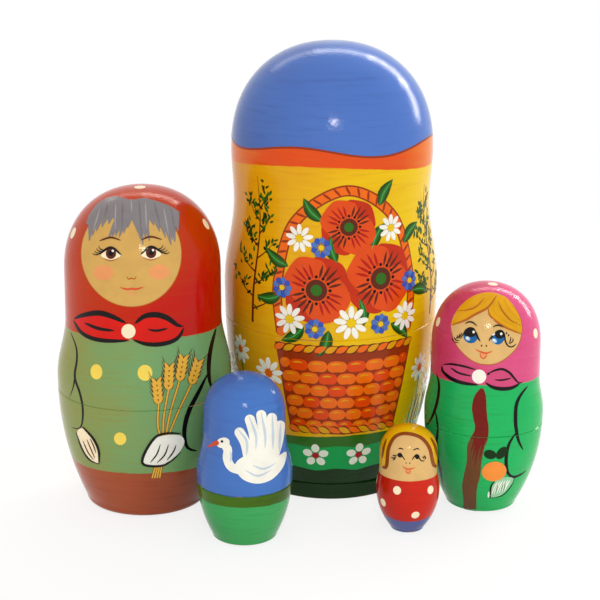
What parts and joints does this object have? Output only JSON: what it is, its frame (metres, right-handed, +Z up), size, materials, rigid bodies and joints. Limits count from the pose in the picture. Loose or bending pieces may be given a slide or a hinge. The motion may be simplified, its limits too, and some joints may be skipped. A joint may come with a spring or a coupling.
{
  "type": "matryoshka nesting doll",
  "caption": "Set of round turned wooden dolls in falling sizes, painted and lacquered, that open at a seam in the middle so that each goes inside the next.",
  "frame": {"origin": "middle of the flat base of the largest doll, on the table", "axes": "+Z up along the largest doll's turning axis, +X to the right and -Y to the front as the set faces the viewer"},
  "size_m": [0.1819, 0.1208, 0.17],
  "materials": {
    "largest_lower": "hand-painted limewood under gloss lacquer, bare inside",
    "largest_upper": "hand-painted limewood under gloss lacquer, bare inside",
    "second_lower": "hand-painted limewood under gloss lacquer, bare inside",
    "second_upper": "hand-painted limewood under gloss lacquer, bare inside",
    "third_lower": "hand-painted limewood under gloss lacquer, bare inside",
    "third_upper": "hand-painted limewood under gloss lacquer, bare inside",
    "fourth_lower": "hand-painted limewood under gloss lacquer, bare inside",
    "fourth_upper": "hand-painted limewood under gloss lacquer, bare inside",
    "smallest_solid": "hand-painted limewood under gloss lacquer, bare inside"
  },
  "bodies": {
    "largest_base": {"largest_lower": "largest_lower"},
    "largest_top": {"largest_upper": "largest_upper"},
    "second_base": {"second_lower": "second_lower"},
    "second_top": {"second_upper": "second_upper"},
    "third_base": {"third_lower": "third_lower"},
    "third_top": {"third_upper": "third_upper"},
    "fourth_base": {"fourth_lower": "fourth_lower"},
    "fourth_top": {"fourth_upper": "fourth_upper"},
    "smallest": {"smallest_solid": "smallest_solid"}
  },
  "joints": [
    {"name": "largest_lift", "type": "slide", "parent": "largest_base", "child": "largest_top", "axis": [0, 0, 1], "range_m": [0, 0.12]},
    {"name": "second_lift", "type": "slide", "parent": "second_base", "child": "second_top", "axis": [0, 0, 1], "range_m": [0, 0.085]},
    {"name": "third_lift", "type": "slide", "parent": "third_base", "child": "third_top", "axis": [0, 0, 1], "range_m": [0, 0.06]},
    {"name": "fourth_lift", "type": "slide", "parent": "fourth_base", "child": "fourth_top", "axis": [0, 0, 1], "range_m": [0, 0.045]},
    {"name": "second_turn", "type": "hinge", "parent": "largest_base", "child": "second_base", "pos_m": [-0.06983, -0.02625, 0], "axis": [0, 0, 1], "continuous": true},
    {"name": "third_turn", "type": "hinge", "parent": "largest_base", "child": "third_base", "pos_m": [0.05738, -0.02924, 0], "axis": [0, 0, 1], "continuous": true},
    {"name": "fourth_turn", "type": "hinge", "parent": "largest_base", "child": "fourth_base", "pos_m": [-0.03131, -0.0628, 0], "axis": [0, 0, 1], "continuous": true},
    {"name": "smallest_turn", "type": "hinge", "parent": "largest_base", "child": "smallest", "pos_m": [0.02782, -0.05604, 0], "axis": [0, 0, 1], "continuous": true}
  ]
}
